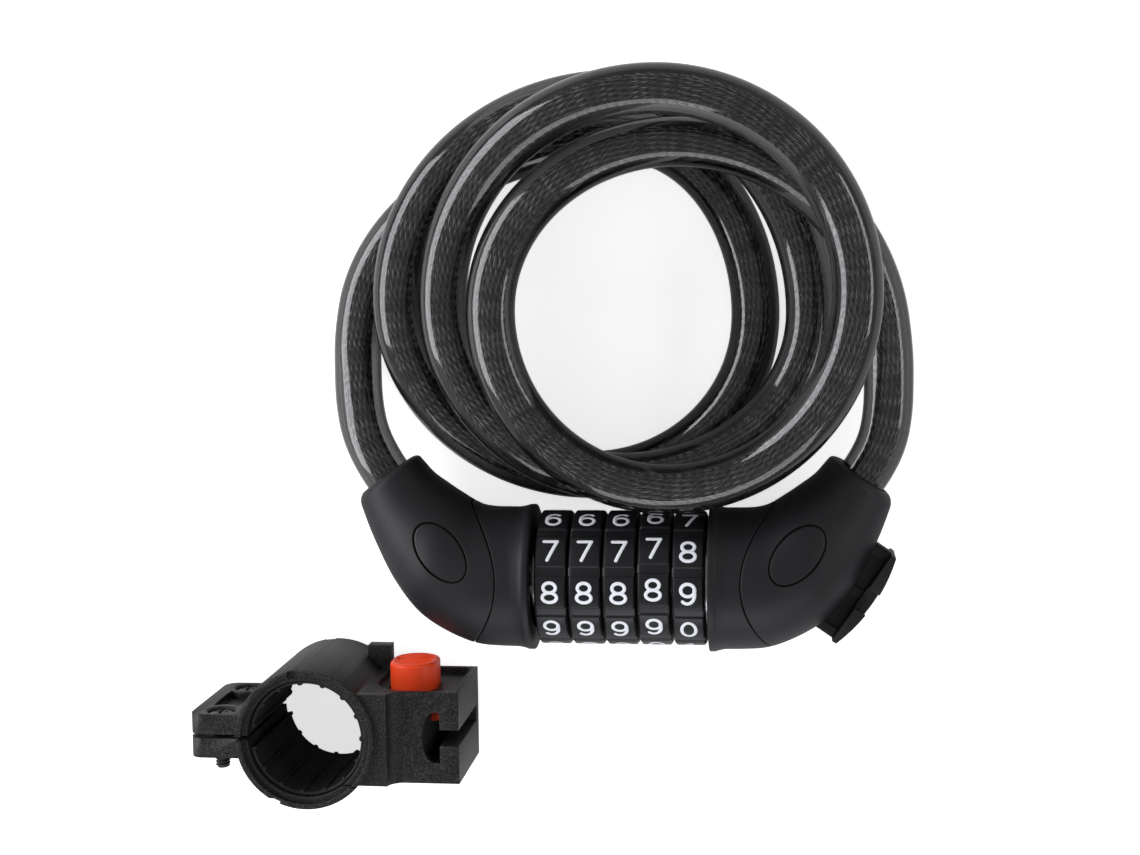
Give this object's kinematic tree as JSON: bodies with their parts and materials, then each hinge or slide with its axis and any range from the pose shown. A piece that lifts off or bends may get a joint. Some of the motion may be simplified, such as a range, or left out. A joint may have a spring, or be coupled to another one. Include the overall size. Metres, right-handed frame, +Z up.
{
  "type": "coiled combination cable lock",
  "caption": "Coiled vinyl-covered steel cable lock closed by a row of number dials between two elbow housings, with a two-piece bar bracket.",
  "frame": {"origin": "on the table, under the middle of the dial stack", "axes": "+X along the dial axis towards the fixed half, +Y towards the cable's coil, +Z up from the table"},
  "size_m": [0.179, 0.1812, 0.0448],
  "materials": {
    "elbow_plastic": "satin fine grain, moulded black",
    "collar_plastic": "satin black",
    "dial_plastic": "semi-gloss black with white numbers",
    "badge_plastic": "satin, bare",
    "tongue_plastic": "dull black",
    "zinc": "die-cast zinc",
    "plated_steel": "zinc plated",
    "spring_steel": "bright",
    "cable_vinyl": "smoky clear vinyl",
    "rope_steel": "dark stranded wire rope",
    "bracket_plastic": "fine grained black",
    "liner_rubber": "dull black",
    "button_plastic": "red-orange, semi-gloss"
  },
  "bodies": {
    "code_head": {"right_elbow_front": "elbow_plastic", "right_elbow_back": "elbow_plastic", "right_collar": "collar_plastic", "right_badge": "badge_plastic", "mounting_tongue": "tongue_plastic", "code_barrel": "zinc", "barrel_end_ring": "plated_steel", "friction_spring": "spring_steel", "thrust_washer": "plated_steel", "right_ferrule": "plated_steel", "right_elbow_screws": "plated_steel", "cable_sleeve": "cable_vinyl", "cable_core": "rope_steel"},
    "pin_end": {"left_elbow_front": "elbow_plastic", "left_elbow_back": "elbow_plastic", "left_collar": "collar_plastic", "left_badge": "badge_plastic", "lock_pin": "plated_steel", "left_ferrule": "plated_steel", "left_elbow_screws": "plated_steel"},
    "bracket": {"clamp_upper": "bracket_plastic", "clamp_lower": "bracket_plastic", "clamp_screws": "plated_steel", "clamp_nuts": "plated_steel", "clamp_liner": "liner_rubber", "button_spring": "spring_steel"},
    "bracket_button": {"release_button": "button_plastic"},
    "wheel_1": {"dial_1": "dial_plastic", "cam_ring_1": "zinc"},
    "wheel_2": {"dial_2": "dial_plastic", "cam_ring_2": "zinc"},
    "wheel_3": {"dial_3": "dial_plastic", "cam_ring_3": "zinc"},
    "wheel_4": {"dial_4": "dial_plastic", "cam_ring_4": "zinc"},
    "wheel_5": {"dial_5": "dial_plastic", "cam_ring_5": "zinc"}
  },
  "joints": [
    {"name": "pin_pull", "type": "slide", "parent": "code_head", "child": "pin_end", "axis": [-1, 0, 0], "range_m": [0, 0.055], "deforming": ["cable_sleeve", "cable_core"]},
    {"name": "dial_1_turn", "type": "hinge", "parent": "code_head", "child": "wheel_1", "pos_m": [-0.0168, 0, 0.0182], "axis": [1, 0, 0], "continuous": true},
    {"name": "dial_2_turn", "type": "hinge", "parent": "code_head", "child": "wheel_2", "pos_m": [-0.0084, 0, 0.0182], "axis": [1, 0, 0], "continuous": true},
    {"name": "dial_3_turn", "type": "hinge", "parent": "code_head", "child": "wheel_3", "pos_m": [0, 0, 0.0182], "axis": [1, 0, 0], "continuous": true},
    {"name": "dial_4_turn", "type": "hinge", "parent": "code_head", "child": "wheel_4", "pos_m": [0.0084, 0, 0.0182], "axis": [1, 0, 0], "continuous": true},
    {"name": "dial_5_turn", "type": "hinge", "parent": "code_head", "child": "wheel_5", "pos_m": [0.0168, 0, 0.0182], "axis": [1, 0, 0], "continuous": true},
    {"name": "bracket_lift", "type": "slide", "parent": "code_head", "child": "bracket", "axis": [0, 0, 1], "range_m": [0, 0.06]},
    {"name": "button_press", "type": "slide", "parent": "bracket", "child": "bracket_button", "axis": [0, -1, 0], "range_m": [0, 0.002], "stiffness_N_per_m": 900, "springref_m": -0.001, "deforming": ["button_spring"]}
  ]
}
